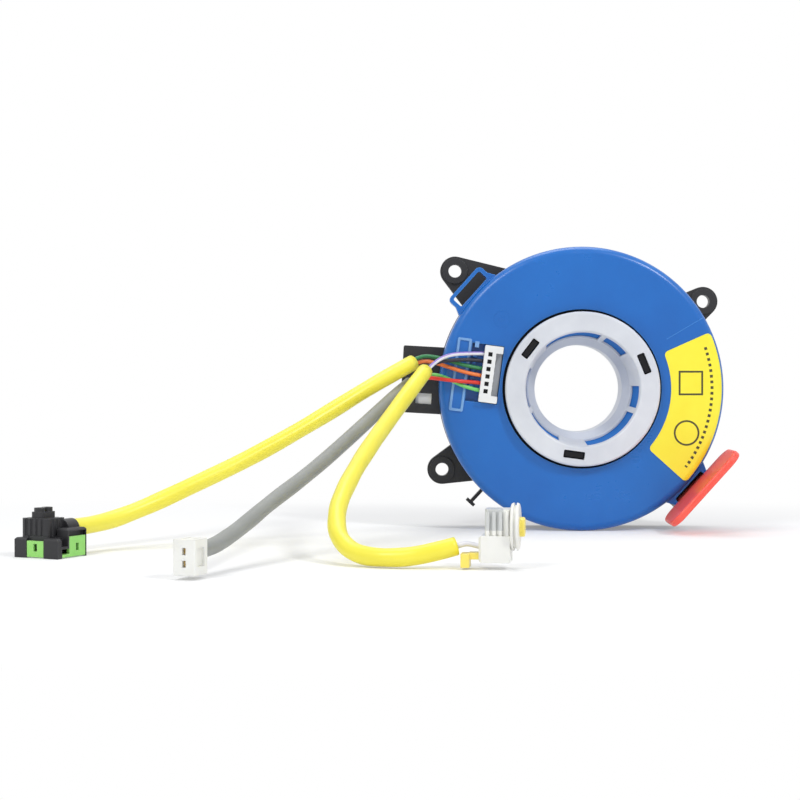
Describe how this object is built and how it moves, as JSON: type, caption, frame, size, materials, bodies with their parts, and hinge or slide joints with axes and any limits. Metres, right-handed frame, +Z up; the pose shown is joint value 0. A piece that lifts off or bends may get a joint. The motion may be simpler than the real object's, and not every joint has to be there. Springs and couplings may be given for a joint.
{
  "type": "steering clock spring",
  "caption": "Steering-column clock spring with blue rotor cover, grey hub, yellow label, red lock tag and three sleeved leads ending in plugs.",
  "frame": {"origin": "centre of the column bore on the back mounting face", "axes": "+X right as the driver sees it, +Y along the bore away from the driver, +Z up, standing on its rim"},
  "size_m": [0.2242, 0.1718, 0.096],
  "materials": {
    "black_plastic": "fine satin grain",
    "blue_plastic": "glossy moulded",
    "grey_plastic": "satin acetal",
    "natural_plastic": "natural nylon, slightly waxy",
    "yellow_plastic": "glossy moulded",
    "green_plastic": "glossy moulded",
    "red_plastic": "semi-gloss moulded",
    "yellow_film": "printed film, satin",
    "slip_film": "smooth film",
    "cable_film": "smooth laminated film",
    "yellow_sleeving": "soft PVC tube",
    "grey_sleeving": "soft PVC tube",
    "white_insulation": "PVC insulation",
    "black_insulation": "PVC insulation",
    "green_insulation": "PVC insulation",
    "orange_insulation": "PVC insulation",
    "red_insulation": "PVC insulation",
    "lime_insulation": "PVC insulation",
    "tinned_metal": "tinned, fine",
    "contact_brass": "bright"
  },
  "bodies": {
    "stator": {"stator_base": "black_plastic", "stator_case": "black_plastic", "stator_header": "natural_plastic", "stator_pins": "tinned_metal", "cable_anchor": "black_plastic", "flat_cable": "cable_film", "rear_film": "slip_film", "front_film": "slip_film"},
    "rotor": {"rotor_cover": "blue_plastic", "inner_drum": "black_plastic", "inner_sleeve": "blue_plastic", "hub_ring": "grey_plastic", "front_header": "natural_plastic", "front_terminals": "tinned_metal", "label": "yellow_film", "white_wire": "white_insulation", "black_wire": "black_insulation", "green_wire": "green_insulation", "orange_wire": "orange_insulation", "red_wire": "red_insulation", "lime_wire": "lime_insulation", "long_yellow_sleeve": "yellow_sleeving", "short_yellow_sleeve": "yellow_sleeving", "grey_sleeve": "grey_sleeving", "squib_plug": "black_plastic", "squib_contacts": "contact_brass", "inflator_plug": "natural_plastic", "inflator_nose": "yellow_plastic", "inflator_wires": "white_insulation", "horn_plug": "natural_plastic", "horn_terminals": "contact_brass"},
    "squib_lock": {"squib_lock": "green_plastic"},
    "inflator_clip": {"inflator_clip": "yellow_plastic"},
    "lock_tag": {"lock_tag": "red_plastic"}
  },
  "joints": [
    {"name": "rotor_turn", "type": "hinge", "parent": "stator", "child": "rotor", "pos_m": [0, 0, 0], "axis": [0, -1, 0], "range_deg": [-900, 900]},
    {"name": "lock_tag_pull", "type": "slide", "parent": "rotor", "child": "lock_tag", "axis": [0, -1, 0], "range_m": [0, 0.012]},
    {"name": "squib_lock_push", "type": "slide", "parent": "rotor", "child": "squib_lock", "axis": [0, 0, 1], "range_m": [0, 0.0013]},
    {"name": "inflator_clip_push", "type": "slide", "parent": "rotor", "child": "inflator_clip", "axis": [0.9903, -0.1392, 0], "range_m": [0, 0.0024]}
  ]
}
